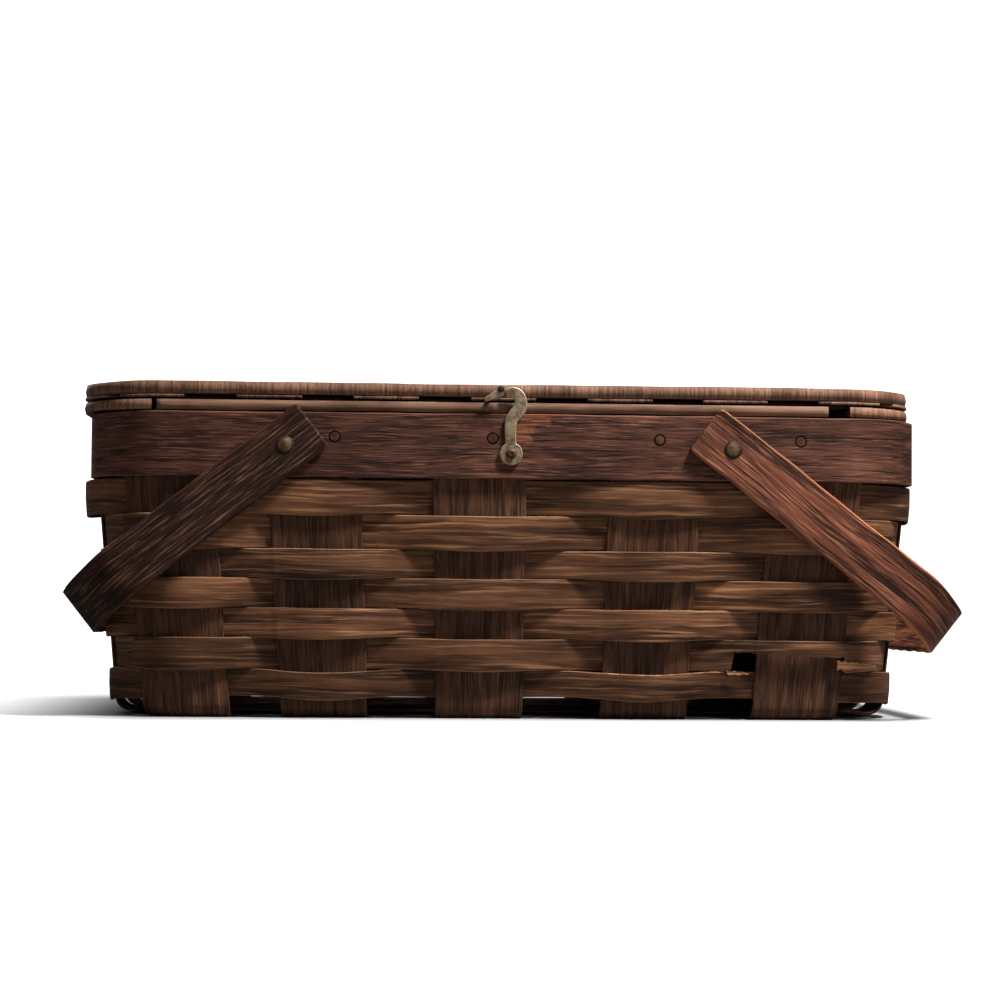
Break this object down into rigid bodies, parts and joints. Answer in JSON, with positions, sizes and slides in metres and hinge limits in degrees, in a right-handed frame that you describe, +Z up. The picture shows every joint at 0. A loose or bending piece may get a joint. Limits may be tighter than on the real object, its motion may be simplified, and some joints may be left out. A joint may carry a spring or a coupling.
{
  "type": "picnic basket",
  "caption": "Dark woven splint picnic basket with a rounded hinged lid, two bent-wood swing handles and a brass hook latch.",
  "frame": {"origin": "middle of the floor's underside, on the surface that the basket stands on", "axes": "+X to the right seen from the front (latch side), +Y towards the hinges at the back, +Z up"},
  "size_m": [0.5368, 0.3114, 0.1952],
  "materials": {
    "stake_splint": "dark stained splint, worn satin",
    "weaver_splint": "brown stained splint, worn satin",
    "rim_wood": "red-brown stained board with open grain",
    "handle_wood": "red-brown stained board with open grain",
    "lid_wood": "weathered brown board, end grain showing",
    "brass": "tarnished",
    "hinge_steel": "dull and stained",
    "nail_steel": "dull, rusted"
  },
  "bodies": {
    "basket": {"handle_rivets": "brass", "hinge_leaf_lower_left": "hinge_steel", "hinge_leaf_lower_right": "hinge_steel", "hinge_pin_left": "hinge_steel", "hinge_pin_right": "hinge_steel", "latch_screw": "nail_steel", "latch_washer": "brass", "rim_band_inner": "rim_wood", "rim_band_outer": "rim_wood", "rim_nails": "nail_steel", "stake_cross_1": "stake_splint", "stake_cross_2": "stake_splint", "stake_cross_3": "stake_splint", "stake_cross_4": "stake_splint", "stake_cross_5": "stake_splint", "stake_long_1": "stake_splint", "stake_long_2": "stake_splint", "stake_long_3": "stake_splint", "weaver_1": "weaver_splint", "weaver_2": "weaver_splint", "weaver_3": "weaver_splint", "weaver_4": "weaver_splint", "weaver_5": "weaver_splint", "weaver_6": "weaver_splint", "weaver_7": "weaver_splint"},
    "lid": {"hinge_leaf_upper_left": "hinge_steel", "hinge_leaf_upper_right": "hinge_steel", "lid_catch": "brass", "lid_end_left": "lid_wood", "lid_end_right": "lid_wood", "lid_frame_top": "lid_wood", "lid_rail_back": "lid_wood", "lid_rail_front": "lid_wood", "lid_splints_cross": "stake_splint", "lid_splints_long": "stake_splint"},
    "left_handle": {"handle_left": "handle_wood"},
    "right_handle": {"handle_right": "handle_wood"},
    "latch": {"latch_hook": "brass"}
  },
  "joints": [
    {"name": "lid_hinge", "type": "hinge", "parent": "basket", "child": "lid", "pos_m": [0, 0.1524, 0.175], "axis": [-1, 0, 0], "range_deg": [0, 100]},
    {"name": "left_handle_swing", "type": "hinge", "parent": "basket", "child": "left_handle", "pos_m": [-0.13, 0, 0.1576], "axis": [0, 1, 0], "range_deg": [0, 174]},
    {"name": "right_handle_swing", "type": "hinge", "parent": "basket", "child": "right_handle", "pos_m": [0.13, 0, 0.1576], "axis": [0, -1, 0], "range_deg": [0, 170]},
    {"name": "latch_turn", "type": "hinge", "parent": "basket", "child": "latch", "pos_m": [0.0009, -0.1503, 0.1541], "axis": [0, 1, 0], "range_deg": [-8, 100]}
  ]
}
